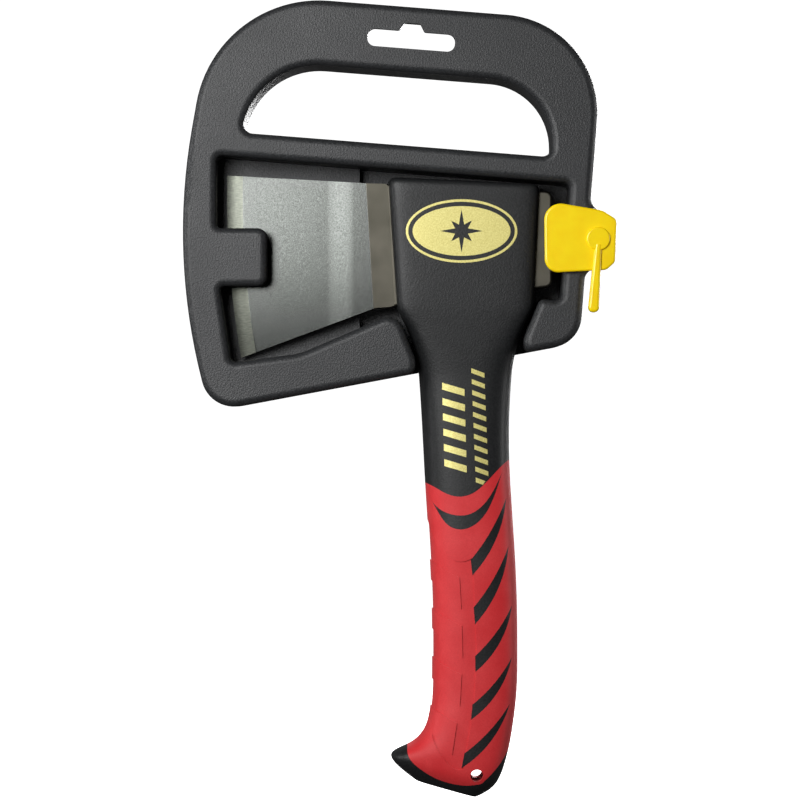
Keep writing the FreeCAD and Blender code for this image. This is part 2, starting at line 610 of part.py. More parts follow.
def head_plan():
    """The head's thickness along its length, as a solid that leans with the ramp."""
    lean = math.tan(math.radians(HEAD_LEAN))
    top = EYE_Z + 2 * PAST
    height = EDGE_HEIGHT + 4 * PAST
    shift = lean * (top - EYE_Z)
    half = [
        (EDGE_TOP_X - BEVEL_WIDTH, EDGE_WIDTH / 2),
        (EDGE_TOP_X + BEVEL_WIDTH, BEVEL_THICKNESS / 2),
        (EYE_BLADE_X - RAMP_LENGTH, BLADE_THICKNESS / 2),
        (EYE_BLADE_X, HEAD_THICKNESS / 2),
        (POLL_X + 2 * PAST, HEAD_THICKNESS / 2),
    ]
    points = [V(x - shift, y, top) for x, y in half]
    points += [V(x - shift, -y, top) for x, y in reversed(half)]
    face = Part.Face(Part.makePolygon(points + points[:1]))
    return face.extrude(V(lean * height, 0, -height))


def bevelled_edge():
    """Solid between two shallow cones that meet along the cutting edge's arc."""
    slope = (BEVEL_THICKNESS - EDGE_WIDTH) / 2 / BEVEL_WIDTH
    inner = EDGE_RADIUS - HEAD_LENGTH - 4 * PAST
    rise = EDGE_WIDTH / 2 + slope * (EDGE_RADIUS - inner)
    profile = [
        V(EDGE_CENTRE_X - EDGE_RADIUS, -EDGE_WIDTH / 2, EDGE_CENTRE_Z),
        V(EDGE_CENTRE_X - EDGE_RADIUS, EDGE_WIDTH / 2, EDGE_CENTRE_Z),
        V(EDGE_CENTRE_X - inner, rise, EDGE_CENTRE_Z),
        V(EDGE_CENTRE_X - inner, -rise, EDGE_CENTRE_Z),
    ]
    face = Part.Face(Part.makePolygon(profile + profile[:1]))
    centre = V(EDGE_CENTRE_X, 0, EDGE_CENTRE_Z)
    return face.rotate(centre, AXIS_Y, -EDGE_SWEEP / 2).revolve(centre, AXIS_Y, EDGE_SWEEP)


def poll_rim(head):
    """Edges round the poll's struck face."""
    return [edge for edge in head.Edges if edge.BoundBox.XMin > POLL_X - TINY]


# ---- handle ----
def ring(left, right, half_depth, corner):
    """Control points round one section of the handle, a rounded rectangle. left and right
    are the section's outermost points, as (x, z)."""
    middle = V((left[0] + right[0]) / 2, 0, (left[1] + right[1]) / 2)
    across = V(right[0] - left[0], 0, right[1] - left[1]) / 2
    a = across.Length
    across = across / a
    b = half_depth
    pull = CORNER_PULL * corner
    quarter = [(a, 0), (a, b - corner), (a - pull, b - pull), (a - corner, b), (0, b)]
    loop = quarter[:-1]
    loop += [(-x, y) for x, y in reversed(quarter[1:])]
    loop += [(-x, -y) for x, y in quarter[:-1]]
    loop += [(x, -y) for x, y in reversed(quarter[1:])]
    return [middle + across * x + V(0, y, 0) for x, y in loop]


def skinned(rings):
    """Solid whose side is one smooth surface guided by rings of control points."""
    poles = [list(row) for row in zip(*rings)]
    around = len(poles)
    spans = len(rings) - 3
    surface = Part.BSplineSurface()
    surface.buildFromPolesMultsKnots(
        poles,
        [1] * (around + 1),
        [4] + [1] * (spans - 1) + [4],
        [float(i) for i in range(around + 1)],
        [float(i) for i in range(spans + 1)],
        True, False, 3, 3)
    side = surface.toShape()
    caps = [Part.Face(Part.Wire([edge])) for edge in side.Edges if edge.Closed]
    shell = Part.Shell([side] + caps)
    shell.sewShape()
    solid = Part.Solid(shell)
    if solid.Volume < 0:
        solid.reverse()
    return solid


def blend(first, last, share):
    return first + (last - first) * share


def handle_sections():
    """Sections of the handle from the eye's top to the butt, each as its left and right
    points, half depth and corner radius."""
    rows = []
    # the eye, with a rounded top
    for drop, draw in ((0, EYE_TOP_ROUND), (0, 0), (EYE_TOP_ROUND, 0), (EYE_HEIGHT / 3, 0),
                       (EYE_HEIGHT * 2 / 3, 0), (EYE_HEIGHT - EYE_TOP_ROUND, 0),
                       (EYE_HEIGHT + EYE_TOP_ROUND / 4, 0)):
        share = drop / EYE_HEIGHT
        left = EYE_BLADE_X + EYE_TAPER_BLADE * share + draw
        right = EYE_X - EYE_TAPER_POLL * share - draw
        rise = EYE_TOP_RISE * (1 - share)
        rows.append(((left, EYE_Z - drop + rise), (right, EYE_Z - drop),
                     EYE_DEPTH / 2 - draw, EYE_CORNER - draw / 2))
    # the shoulders
    for step in range(1, SHOULDER_SECTIONS):
        share = step / SHOULDER_SECTIONS
        eased = 1 - (1 - share) ** SHOULDER_EASE
        z = EYE_Z - EYE_HEIGHT - SHOULDER_HEIGHT * share
        left = blend(HEEL_X, NECK_X - NECK_WIDTH / 2, eased)
        right = blend(EYE_X - EYE_TAPER_POLL, NECK_X + NECK_WIDTH / 2, eased)
        rows.append(((left, z), (right, z), blend(EYE_DEPTH, NECK_DEPTH, share) / 2,
                     blend(EYE_CORNER, NECK_CORNER, share)))
    # neck and grip
    for step in range(GRIP_SECTIONS + 1):
        share = step / GRIP_SECTIONS
        slim = max(0, 1 - share / NECK_RUN) ** 2
        swept = min(1, max(0, share - SWAY_START) / SWAY_RUN)
        deepened = min(1, share / NECK_DEEPEN)
        sway = math.sin(math.pi / 2 * swept) ** 2
        x = NECK_X + GRIP_SWAY * sway
        half = blend(GRIP_WIDTH, NECK_WIDTH, slim) / 2
        z = NECK_Z - GRIP_LENGTH * share
        lean = share ** GRIP_LEAN_ONSET
        depth = blend(NECK_DEPTH, GRIP_DEPTH, deepened)
        rows.append(((x - half, z + lean), (x + half, z - lean), depth / 2,
                     blend(NECK_CORNER, GRIP_CORNER, deepened)))
    return rows + butt_sections()


def butt_sections():
    """The fan of sections that turns the grip's end into a hook and rounds it off."""
    half = GRIP_WIDTH / 2
    rows = []
    for reach, left_drop, draw, right_drop, depth, corner in BUTT_SECTIONS:
        left = (GRIP_END_X - half - BUTT_HOOK * reach, GRIP_END_Z - BUTT_HEIGHT * left_drop)
        right = (GRIP_END_X + half - draw, GRIP_END_Z - BUTT_HEIGHT * right_drop)
        rows.append((left, right, BUTT_DEPTH / 2 * depth, GRIP_CORNER * corner))
    return rows


def handle_layer(depth_in):
    """The handle's outer shape, or a layer a given distance inside it."""
    rings = []
    for left, right, half_depth, corner in handle_sections():
        across = V(right[0] - left[0], 0, right[1] - left[1]).normalize() * depth_in
        rings.append(ring((left[0] + across.x, left[1] + across.z),
                          (right[0] - across.x, right[1] - across.z),
                          half_depth - depth_in, corner - depth_in / 2))
    return skinned(rings)


def on_grip(across, along):
    """X and Z of a point of the grip's pattern."""
    x = NECK_X + across * GRIP_WIDTH
    if along < 1:
        return x, NECK_Z - along * GRIP_LENGTH
    return x, GRIP_END_Z - (along - 1) * BUTT_HEIGHT


def grip_points(shares):
    return [V(x, -EYE_DEPTH, z) for x, z in (on_grip(a, b) for a, b in shares)]


def smooth(shares):
    """Smooth curve through points of the grip's pattern."""
    curve = Part.BSplineCurve()
    curve.interpolate(grip_points(shares))
    return curve.toShape()


def straight(shares):
    """Chain of straight edges through points of the grip's pattern."""
    points = grip_points(shares)
    return [Part.LineSegment(a, b).toShape() for a, b in zip(points, points[1:])]


def through(edges):
    """Prism right through the handle with the outline that the edges make."""
    return Part.Face(Part.Wire(Part.__sortEdges__(edges))).extrude(V(0, 2 * EYE_DEPTH, 0))


def overmould_region():
    """Where the soft grip covers the handle, seen from the front."""
    top = GRIP_TOP[-1][1]
    foot = GRIP_FOOT_SIDE
    first = [(GRIP_PAST, top), GRIP_TOP[-1]]
    second = [GRIP_TOP[0], (-GRIP_PAST, GRIP_TOP[0][1]), (-GRIP_PAST, foot), GRIP_FOOT[0]]
    third = [GRIP_FOOT[-1], (GRIP_PAST, foot), (GRIP_PAST, top)]
    edges = straight(first) + straight(second) + straight(third)
    return through(edges + [smooth(GRIP_TOP), smooth(GRIP_FOOT)])


def bowed(start, end, bulge):
    """Arc between two points of the grip's pattern, bowed towards the poll side and down."""
    chord = end - start
    out = V(-chord.z, 0, chord.x).normalize()
    return Part.Arc(start, (start + end) / 2 + out * bulge, end).toShape()


def stripe_windows():
    """The windows in the soft grip: a crescent and the stripes below it."""
    windows = [through([smooth(CRESCENT_FOOT), smooth(CRESCENT_TOP)])]
    for shares in STRIPES:
        tip, corner, foot = grip_points(shares)
        windows.append(through([
            bowed(tip, corner, STRIPE_TOP_BULGE),
            bowed(tip, foot, STRIPE_FOOT_BULGE),
            Part.LineSegment(corner, foot).toShape(),
        ]))
    return windows


def seam_x(z):
    """X of the line that the stripes' lower ends lie on."""
    ends = [grip_points(shares)[1] for shares in STRIPES]
    if z > ends[0].z:
        return ends[0].x
    for upper, lower in zip(ends, ends[1:]):
        if z >= lower.z:
            share = (z - upper.z) / (lower.z - upper.z)
            return blend(upper.x, lower.x, share)
    return ends[-1].x


def leaf(number):
    """One raised leaf of the grip's panel."""
    top = NECK_Z - LEAF_FIRST - number * LEAF_PITCH
    foot = top - LEAF_HEIGHT
    side = NECK_X - GRIP_WIDTH
    corners = [V(seam_x(z) - LEAF_REACH, -EYE_DEPTH, z) for z in (top, foot)]
    far = [V(side, -EYE_DEPTH, z) for z in (top + 2 * LEAF_SWEEP_TOP, foot + 2 * LEAF_SWEEP_FOOT)]
    edges = [Part.LineSegment(corners[0], corners[1]).toShape()]
    for corner, end, sweep in ((corners[0], far[0], LEAF_SWEEP_TOP),
                               (corners[1], far[1], LEAF_SWEEP_FOOT)):
        middle = V((corner.x + end.x) / 2, corner.y, corner.z + sweep * LEAF_BOW)
        edges.append(Part.Arc(corner, middle, end).toShape())
    edges.append(Part.LineSegment(far[0], far[1]).toShape())
    return through(edges)


def relief_pockets():
    """The shallow panel between the stripes and the grip's side, less its raised leaves."""
    ends = [(across + PANEL_LAP, along) for tip, (across, along), foot in STRIPES[1:]]
    seam = [PANEL_TOP[-1]] + ends + [PANEL_FOOT[-1]]
    side = [PANEL_FOOT[0], PANEL_TOP[0]]
    panel = through([smooth(PANEL_TOP), smooth(PANEL_FOOT)] + straight(seam) + straight(side))
    return panel.cut([leaf(number) for number in range(LEAVES)])


def lanyard_hole(radius):
    return cylinder(LANYARD_X, LANYARD_Z, radius, -EYE_DEPTH, EYE_DEPTH)


def overmould(outer):
    """The soft grip without its relief: a skin with windows, and the hole's lining."""
    skin = outer.common(overmould_region()).cut(handle_layer(SKIN))
    skin = skin.cut(stripe_windows())
    lining = outer.common(lanyard_hole(LANYARD_RADIUS + LANYARD_LINING))
    return skin.fuse(lining).cut(lanyard_hole(LANYARD_RADIUS))


def grip_overmould(plain):
    """The soft grip with its panel sunk and its leaves left standing."""
    return plain.cut(relief_pockets().cut(handle_layer(RELIEF)))


def core_rod():
    """Glass-fibre core, from below the head to the butt."""
    rings = []
    top = HEEL_Z - CORE_HEAD_GAP
    foot = BUTT_Z + CORE_BUTT_GAP
    rows = handle_sections()
    for step in range(CORE_SECTIONS + 1):
        z = blend(top, foot, step / CORE_SECTIONS)
        x = centre_line(rows, z)
        rings.append(ring((x - CORE_WIDTH / 2, z), (x + CORE_WIDTH / 2, z),
                          CORE_DEPTH / 2, CORE_CORNER))
    return skinned(rings)


def centre_line(rows, z):
    """Middle of the handle at a height, from its sections."""
    middles = [((l[0] + r[0]) / 2, (l[1] + r[1]) / 2) for l, r, depth, corner in rows]
    for upper, lower in zip(middles, middles[1:]):
        if upper[1] >= z >= lower[1] and upper[1] > lower[1]:
            return blend(upper[0], lower[0], (z - upper[1]) / (lower[1] - upper[1]))
    return middles[-1][0]


def handle_body(outer, soft, head, core):
    """The handle's hard jacket: the eye round the head, and the stripes in the grip."""
    return outer.cut(soft).cut(head).cut(core).cut(lanyard_hole(LANYARD_RADIUS))


# ---- latch ----
PLATE_BACK = FRONT - LATCH_GAP
PLATE_FRONT = PLATE_BACK - PLATE_THICKNESS
BOSS_END = FRONT + LUG_DEPTH + BOSS_PLAY
WASHER_END = BOSS_END + WASHER_THICKNESS


def latch_lever():
    """The turning latch: plate, disc, tail and the boss that it turns on, in one piece."""
    held = POLL_X - PLATE_HOLD
    plate = [(held, PIVOT_Z + PLATE_TOP, PLATE_TOP_RADIUS)]
    plate += [(PIVOT_X + side, PIVOT_Z + rise, radius) for side, rise, radius in PLATE_CORNERS]
    plate.append((held + PLATE_FOOT_DRAW, PIVOT_Z - PLATE_FOOT, PLATE_FOOT_RADIUS))
    lever = prism(plate, PLATE_FRONT, PLATE_BACK)
    lever = lever.makeFillet(PLATE_ROUND, rim_edges(lever, PLATE_FRONT))
    disc = cylinder(PIVOT_X, PIVOT_Z, DISC_RADIUS, PLATE_FRONT - DISC_HEIGHT, PLATE_BACK)
    disc = disc.makeFillet(DISC_HEIGHT / 2, rim_edges(disc, PLATE_FRONT - DISC_HEIGHT))
    boss = cylinder(PIVOT_X, PIVOT_Z, BOSS_RADIUS, PLATE_BACK, BOSS_END)
    lever = lever.fuse([disc, latch_tail(), boss]).removeSplitter()
    pilot = cylinder(PIVOT_X, PIVOT_Z, SCREW_RADIUS + SCREW_FIT,
                     WASHER_END - SCREW_LENGTH - CLEAR, BOSS_END + CLEAR)
    return lever.cut(pilot)


def latch_tail():
    """Finger tail of the latch, wider and rounder towards its tip."""
    tip_z = PIVOT_Z - TAIL_LENGTH
    tip = TAIL_WIDTH / 2
    root = TAIL_ROOT_WIDTH / 2
    tail = prism([
        (PIVOT_X - root, PIVOT_Z - DISC_RADIUS / 2, 0),
        (PIVOT_X + root, PIVOT_Z - DISC_RADIUS / 2, 0),
        (PIVOT_X - TAIL_LEAN + tip, tip_z, TAIL_TIP_ROUND),
        (PIVOT_X - TAIL_LEAN - tip, tip_z, TAIL_TIP_ROUND),
    ], PLATE_BACK - TAIL_HEIGHT, PLATE_BACK)
    ridge = rim_edges(tail, PLATE_BACK - TAIL_HEIGHT)
    ridge = [edge for edge in ridge if edge.BoundBox.ZMin < PIVOT_Z - DISC_RADIUS]
    return tail.makeFillet(TAIL_ROUND, ridge)


def latch_washer():
    washer = cylinder(PIVOT_X, PIVOT_Z, WASHER_RADIUS, BOSS_END, WASHER_END)
    return washer.cut(cylinder(PIVOT_X, PIVOT_Z, WASHER_HOLE, BOSS_END - CLEAR, WASHER_END + CLEAR))


def latch_screw():
    """Pan-head screw that draws the washer against the boss from behind."""
    head_end = WASHER_END + SCREW_HEAD_HEIGHT
    head = cylinder(PIVOT_X, PIVOT_Z, SCREW_HEAD_RADIUS, WASHER_END, head_end)
    head = head.makeFillet(SCREW_HEAD_HEIGHT / 2, rim_edges(head, head_end))
    shank = cylinder(PIVOT_X, PIVOT_Z, SCREW_RADIUS, WASHER_END - SCREW_LENGTH, WASHER_END)
    shank = shank.makeChamfer(SCREW_RADIUS / 3, rim_edges(shank, WASHER_END - SCREW_LENGTH))
    screw = head.fuse(shank)
    for length, height in ((CROSS_RECESS, CROSS_RECESS_WIDTH), (CROSS_RECESS_WIDTH, CROSS_RECESS)):
        corner = V(PIVOT_X - length / 2, head_end - CROSS_RECESS_DEPTH, PIVOT_Z - height / 2)
        screw = screw.cut(Part.makeBox(length, 2 * CROSS_RECESS_DEPTH, height, corner))
    return screw


def build():
    """Every piece of the hatchet and its case, by name."""
    outer = handle_layer(0)
    soft = overmould(outer)
    head = axe_head()
    core = core_rod()
    return {
        "sheath_front_shell": sheath_front_shell(),
        "sheath_back_shell": sheath_back_shell(),
        "axe_head": head,
        "core_rod": core,
        "handle_body": handle_body(outer, soft, head, core),
        "grip_overmould": grip_overmould(soft),
        "latch_lever": latch_lever(),
        "latch_washer": latch_washer(),
        "latch_screw": latch_screw(),
    }


os.makedirs("parts", exist_ok=True)
for name, shape in build().items():
    shape.exportStep("parts/" + name + ".step")
    print(name, len(shape.Solids), "solid", round(shape.Volume / 1000, 2), "cm3", shape.isValid())
print("latch pivot", round(PIVOT_X, 3), round(PIVOT_Z, 3))
print("swing axis", round(EDGE_TOP_X, 3), "lanyard hole", round(LANYARD_X, 3), round(LANYARD_Z, 3))
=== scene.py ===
# %% [markdown]
# # A small hatchet in its carry case
#
# The hatchet lies in a black moulded case, held by a tongue over its blade and a yellow latch over
# its poll. The shapes come from the CAD model. This lesson loads that model, gives every part the
# finish of its real material, adds the gold printing, and sets up the camera and the light.

# %% Load the frame
import math

import bpy
import numpy as np
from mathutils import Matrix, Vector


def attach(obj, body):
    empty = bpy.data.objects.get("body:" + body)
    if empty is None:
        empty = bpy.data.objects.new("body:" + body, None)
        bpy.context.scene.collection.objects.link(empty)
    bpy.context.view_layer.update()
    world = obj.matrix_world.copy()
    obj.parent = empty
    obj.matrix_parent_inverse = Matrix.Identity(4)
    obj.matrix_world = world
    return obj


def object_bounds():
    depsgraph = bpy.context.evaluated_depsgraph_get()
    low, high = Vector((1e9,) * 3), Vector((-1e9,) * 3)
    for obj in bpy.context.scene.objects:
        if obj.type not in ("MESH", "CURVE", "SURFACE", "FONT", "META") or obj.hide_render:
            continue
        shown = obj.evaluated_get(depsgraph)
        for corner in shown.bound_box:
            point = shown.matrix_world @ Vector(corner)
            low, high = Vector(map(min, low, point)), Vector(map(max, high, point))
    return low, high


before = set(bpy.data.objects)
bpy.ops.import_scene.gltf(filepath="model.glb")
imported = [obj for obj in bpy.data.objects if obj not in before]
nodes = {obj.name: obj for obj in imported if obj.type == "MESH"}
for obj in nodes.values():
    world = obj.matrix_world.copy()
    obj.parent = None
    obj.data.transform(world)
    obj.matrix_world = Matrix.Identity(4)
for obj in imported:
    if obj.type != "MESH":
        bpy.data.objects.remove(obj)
cad_box = [list(corner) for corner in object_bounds()]
MM = 0.001
print("parts:", sorted(nodes))
print("CAD box:", cad_box)

# %% [markdown]
# ## Places on the hatchet
#
# The steel's finish needs to know where the cutting edge and the ramp are. These are the design's
# own sizes, in metres, with the hang slot at the origin: X runs towards the poll, Z up, and the
# front faces -Y. The ramp leans by 3.4 degrees, so it is placed along a line that starts at the
# height of the eye's top.

# %% Places
EYE_TOP = -52.2 * MM
EDGE_CENTRE = (277.13 * MM, -56.57 * MM)
EDGE_RADIUS = 345 * MM
GRIND_WIDTH = 5.8 * MM
RAMP_START = -16.5 * MM
RAMP_LEAN = math.tan(math.radians(3.4))
print("ramp starts at X =", RAMP_START)

# %% [markdown]
# ## Helpers for materials
#
# Colours are picked as sRGB hex values, but a shader works with linear light, so one function
# turns them over. One more adds a node, sets its values and joins its inputs. A material is then
# a short list of calls. A pattern's size is given in millimetres, and `per` turns it into the
# texture's scale, which is patterns per metre on Object coordinates.


# %% Material helpers
def linear(hex_colour):
    """sRGB hex to linear light: a 2.4 power law above a short straight part."""
    parts = [int(hex_colour[i:i + 2], 16) / 255 for i in (1, 3, 5)]
    return [c / 12.92 if c <= 0.04045 else ((c + 0.055) / 1.055) ** 2.4 for c in parts] + [1.0]


def per(millimetres):
    return 1 / (millimetres * MM)


def add(material, kind, inputs=None, **settings):
    """Adds a node. An input is a value, or a (node, output name) pair to join."""
    tree = material.node_tree
    node = tree.nodes.new(kind)
    for name, value in settings.items():
        setattr(node, name, value)
    for name, value in (inputs or {}).items():
        if isinstance(value, tuple) and isinstance(value[0], bpy.types.Node):
            tree.links.new(value[0].outputs[value[1]], node.inputs[name])
        else:
            node.inputs[name].default_value = value
    return node


def new_material(name):
    """An empty material, with its Object coordinates."""
    material = bpy.data.materials.new(name)
    material.use_nodes = True
    material.node_tree.nodes.clear()
    return material, (add(material, "ShaderNodeTexCoord"), "Object")


def surface(material, **sockets):
    """Ends a material: the Principled shader with these sockets, and the output."""
    named = {name.replace("_", " "): value for name, value in sockets.items()}
    shader = add(material, "ShaderNodeBsdfPrincipled", named)
    add(material, "ShaderNodeOutputMaterial", {"Surface": (shader, "BSDF")})
    return material


def noise(material, where, size, detail=2.0):
    """Cloudy noise of a feature size in millimetres, from 0 to 1."""
    node = add(material, "ShaderNodeTexNoise",
               {"Vector": where, "Scale": per(size), "Detail": detail})
    return node, "Fac"


def ramp(material, factor, *stops):
    """Turns a factor into a colour: each stop is a position and an sRGB hex value."""
    node = add(material, "ShaderNodeValToRGB", {"Fac": factor})
    elements = node.color_ramp.elements
    while len(elements) < len(stops):
        elements.new(0.5)
    for element, (position, colour) in zip(elements, stops):
        element.position = position
        element.color = linear(colour)
    return node, "Color"


def span(material, factor, low, high, to_low=0.0, to_high=1.0):
    """Stretches a factor from one range to another, held at both ends."""
    node = add(material, "ShaderNodeMapRange",
               {"Value": factor, "From Min": low, "From Max": high,
                "To Min": to_low, "To Max": to_high})
    return node, "Result"


def mix(material, factor, first, second):
    """Blends two colours by a factor."""
    node = add(material, "ShaderNodeMix", data_type="RGBA")
    tree = material.node_tree
    for index, value in ((0, factor), (6, first), (7, second)):
        if isinstance(value, tuple) and isinstance(value[0], bpy.types.Node):
            tree.links.new(value[0].outputs[value[1]], node.inputs[index])
        else:
            node.inputs[index].default_value = value
    return node, 2


def bump(material, height, depth, below=None):
    """Surface relief: height from 0 to 1 over a depth in millimetres, on a relief below it."""
    node = add(material, "ShaderNodeBump", {"Height": height, "Distance": depth * MM})
    if below:
        material.node_tree.links.new(below[0].outputs[below[1]], node.inputs["Normal"])
    return node, "Normal"


print("mid grey in linear light:", round(linear("#808080")[0], 3))

# %% [markdown]
# ## Case: moulded polyethylene
#
# The case is black polyethylene. Its mould was spark eroded, which leaves a fine pebbled grain
# that turns the gloss into a grey sheen. The real grain is about 0.3 mm; it is drawn at 0.6 mm,
# so that it still shows from a distance. Slow changes in the sheen stand for handling.


# %% Case material
def moulded_polyethylene():
    material, where = new_material("moulded_polyethylene_spark_eroded")
    grain = noise(material, where, 0.6, 3.0)
    cloud = noise(material, where, 28.0)
    colour = ramp(material, grain, (0.30, "#1c1d1e"), (0.72, "#343537"))
    rough = span(material, cloud, 0.3, 0.7, 0.43, 0.50)
    return surface(material, Base_Color=colour, Roughness=rough,
                   Normal=bump(material, grain, 0.15), IOR=1.51, Specular_IOR_Level=0.38)


case_plastic = moulded_polyethylene()
print(case_plastic.name)

# %% [markdown]
# ## Head: forged carbon steel
#
# The head is forged, blasted and lacquered, so it is a metal with a fine speckle and a soft
# shine. The last 6 mm before the cutting edge are ground, which leaves lines at right angles to
# the edge and a brighter face. The step up to the eye keeps its dull scale. The edge is an arc,
# so the ground band is all that lies further than a radius from the arc's centre. Two broad
# reliefs are drawn as bumps: a hollow beside the ramp that throws a bright streak, and a crown
# that makes the blade very slightly domed.


# %% Head material
HOLLOW = (-31 * MM, -21 * MM)       # in X
HOLLOW_DEPTH = 0.42                 # mm
CROWN = (-120 * MM, -50 * MM)       # in Z
CROWN_DEPTH = 0.7                   # mm
SOFT_EDGE = 0.1 * MM                # how sharply one finish gives way to the next
LINE_STRETCH = (0.06, 1.0, 1.0)     # grinding lines run along X


def forged_steel():
    material, where = new_material("forged_carbon_steel_lacquered")
    parts = add(material, "ShaderNodeSeparateXYZ", {"Vector": where})
    flat = add(material, "ShaderNodeCombineXYZ",
               {"X": (parts, "X"), "Y": 0.0, "Z": (parts, "Z")})
    centre = (EDGE_CENTRE[0], 0.0, EDGE_CENTRE[1])
    away = add(material, "ShaderNodeVectorMath",
               {0: (flat, "Vector"), 1: centre}, operation="DISTANCE")
    inner = EDGE_RADIUS - GRIND_WIDTH
    ground = span(material, (away, "Value"), inner - SOFT_EDGE, inner + SOFT_EDGE)
    below = add(material, "ShaderNodeMath",
                {0: (parts, "Z"), 1: -EYE_TOP}, operation="ADD")
    leaned = add(material, "ShaderNodeMath",
                 {0: (below, "Value"), 1: RAMP_LEAN, 2: (parts, "X")}, operation="MULTIPLY_ADD")
    scale = span(material, (leaned, "Value"), RAMP_START - SOFT_EDGE, RAMP_START + SOFT_EDGE)

    speckle = noise(material, where, 0.5, 3.0)
    cloud = noise(material, where, 14.0)
    lines_at = add(material, "ShaderNodeMapping", {"Vector": where, "Scale": LINE_STRETCH})
    lines = noise(material, (lines_at, "Vector"), 0.35, 1.0)

    blasted = ramp(material, speckle, (0.25, "#2c2d2c"), (0.75, "#3e403e"))
    dull = ramp(material, cloud, (0.3, "#4c4a42"), (0.7, "#615e55"))
    bright = ramp(material, lines, (0.25, "#3e403b"), (0.75, "#51534c"))
    colour = mix(material, scale, mix(material, ground, blasted, bright), dull)
    scaled = span(material, scale, 0.0, 1.0, 0.0, 0.42)
    polish = span(material, ground, 0.0, 1.0, 0.25, 0.34)
    rough = add(material, "ShaderNodeMath", {0: scaled, 1: polish}, operation="MAXIMUM")
    hollow = span(material, (parts, "X"), HOLLOW[0], HOLLOW[1])
    hollow[0].interpolation_type = "SMOOTHSTEP"
    height = span(material, (parts, "Z"), CROWN[0], CROWN[1], -1.0, 1.0)
    crown = add(material, "ShaderNodeMath", {0: height, 1: height}, operation="MULTIPLY")
    domed = add(material, "ShaderNodeMath", {0: 1.0, 1: (crown, "Value")}, operation="SUBTRACT")
    shape = bump(material, (domed, "Value"), CROWN_DEPTH)
    shape = bump(material, hollow, HOLLOW_DEPTH, shape)
    return surface(material, Base_Color=colour, Roughness=(rough, "Value"), Metallic=1.0,
                   Normal=bump(material, speckle, 0.014, shape))


head_steel = forged_steel()
print(head_steel.name)

# %% [markdown]
# ## Handle: glass-filled nylon and soft rubber
#
# The hard jacket is black nylon with a fine mould grain. The grip is a thermoplastic rubber
# moulded over it: matt, a little dusty, and lighter where light grazes it, which a weak sheen
# gives. Both grains are near 0.5 mm.


# %% Handle materials
def filled_nylon():
    material, where = new_material("glass_filled_nylon_fine_grain")
    grain = noise(material, where, 0.6, 3.0)
    colour = ramp(material, grain, (0.3, "#111213"), (0.75, "#232425"))
    rough = span(material, noise(material, where, 22.0), 0.3, 0.7, 0.44, 0.52)
    return surface(material, Base_Color=colour, Roughness=rough,
                   Normal=bump(material, grain, 0.09), IOR=1.53, Specular_IOR_Level=0.3)


def soft_rubber():
    material, where = new_material("thermoplastic_rubber_matt")
    grain = noise(material, where, 0.5, 2.0)
    dust = noise(material, where, 9.0, 4.0)
    colour = mix(material, span(material, grain, 0.3, 0.7, 0.0, 0.35),
                 ramp(material, dust, (0.3, "#cf282d"), (0.75, "#d83a3d")), linear("#b91f24"))
    return surface(material, Base_Color=colour, Roughness=0.58, Sheen_Weight=0.1,
                   Sheen_Roughness=0.4, Normal=bump(material, grain, 0.04), IOR=1.5,
                   Specular_IOR_Level=0.35)


handle_plastic = filled_nylon()
grip_rubber = soft_rubber()
print(handle_plastic.name, grip_rubber.name)

# %% [markdown]
# ## Latch, fasteners and core
#
# The latch is polypropylene from a polished mould: strong yellow, glossy, with light going a
# little way in. The screw and washer are zinc plated, and the core is a pultruded rod whose
# glass strands run along it.


# %% Small materials
def polypropylene():
    material, where = new_material("polypropylene_polished_mould")
    ripple = noise(material, where, 6.0)
    colour = ramp(material, ripple, (0.3, "#fbd400"), (0.7, "#ffde08"))
    return surface(material, Base_Color=colour, Roughness=0.26, IOR=1.49,
                   Subsurface_Weight=0.15, Subsurface_Radius=(0.004, 0.003, 0.0005),
                   Normal=bump(material, ripple, 0.05))


def zinc_plate():
    material, where = new_material("zinc_plated_steel")
    spangle = noise(material, where, 1.2, 2.0)
    colour = ramp(material, spangle, (0.3, "#a9aeb3"), (0.7, "#c9cdd0"))
    return surface(material, Base_Color=colour, Metallic=1.0,
                   Roughness=span(material, spangle, 0.3, 0.7, 0.25, 0.36))


def pultruded_glass():
    material, where = new_material("pultruded_glass_fibre")
    along = add(material, "ShaderNodeMapping", {"Vector": where, "Scale": (1.0, 1.0, 0.03)})
    strands = noise(material, (along, "Vector"), 0.5, 2.0)
    colour = ramp(material, strands, (0.3, "#b9ad74"), (0.7, "#ddd5a6"))
    return surface(material, Base_Color=colour, Roughness=0.42,
                   Normal=bump(material, strands, 0.05), IOR=1.55)


latch_plastic = polypropylene()
fastener_steel = zinc_plate()
core_glass_fibre = pultruded_glass()
print(latch_plastic.name, fastener_steel.name, core_glass_fibre.name)

# %% [markdown]
# ## Finishes on the CAD parts
#
# Every CAD part keeps its own mesh and only gets a better material.

# %% Give the parts their materials
FINISHES = {
    "sheath_front_shell": case_plastic,
    "sheath_back_shell": case_plastic,
    "axe_head": head_steel,
    "core_rod": core_glass_fibre,
    "handle_body": handle_plastic,
    "grip_overmould": grip_rubber,
    "latch_lever": latch_plastic,
    "latch_washer": fastener_steel,
    "latch_screw": fastener_steel,
}
for name, material in FINISHES.items():
    mesh = nodes[name].data
    mesh.materials.clear()
    mesh.materials.append(material)
print(len(FINISHES), "parts have a finish")

# %% [markdown]
# ## Gold printing
#
# The eye and the neck carry gold pad printing. A print could be a pattern in the handle's
# material, but then it has no edge of its own and no thickness. Here each mark is a thin film:
# a flat grid between two outlines, pressed on to the handle by a Shrinkwrap modifier along Y and
# then thickened outwards. The marks are plain ones: a compass star in an oval, and a row of
# slanted bars.


# %% Film helpers
FILM_LIFT = 0.03 * MM
FILM_THICKNESS = 0.05 * MM
SHEET_Y = -30 * MM


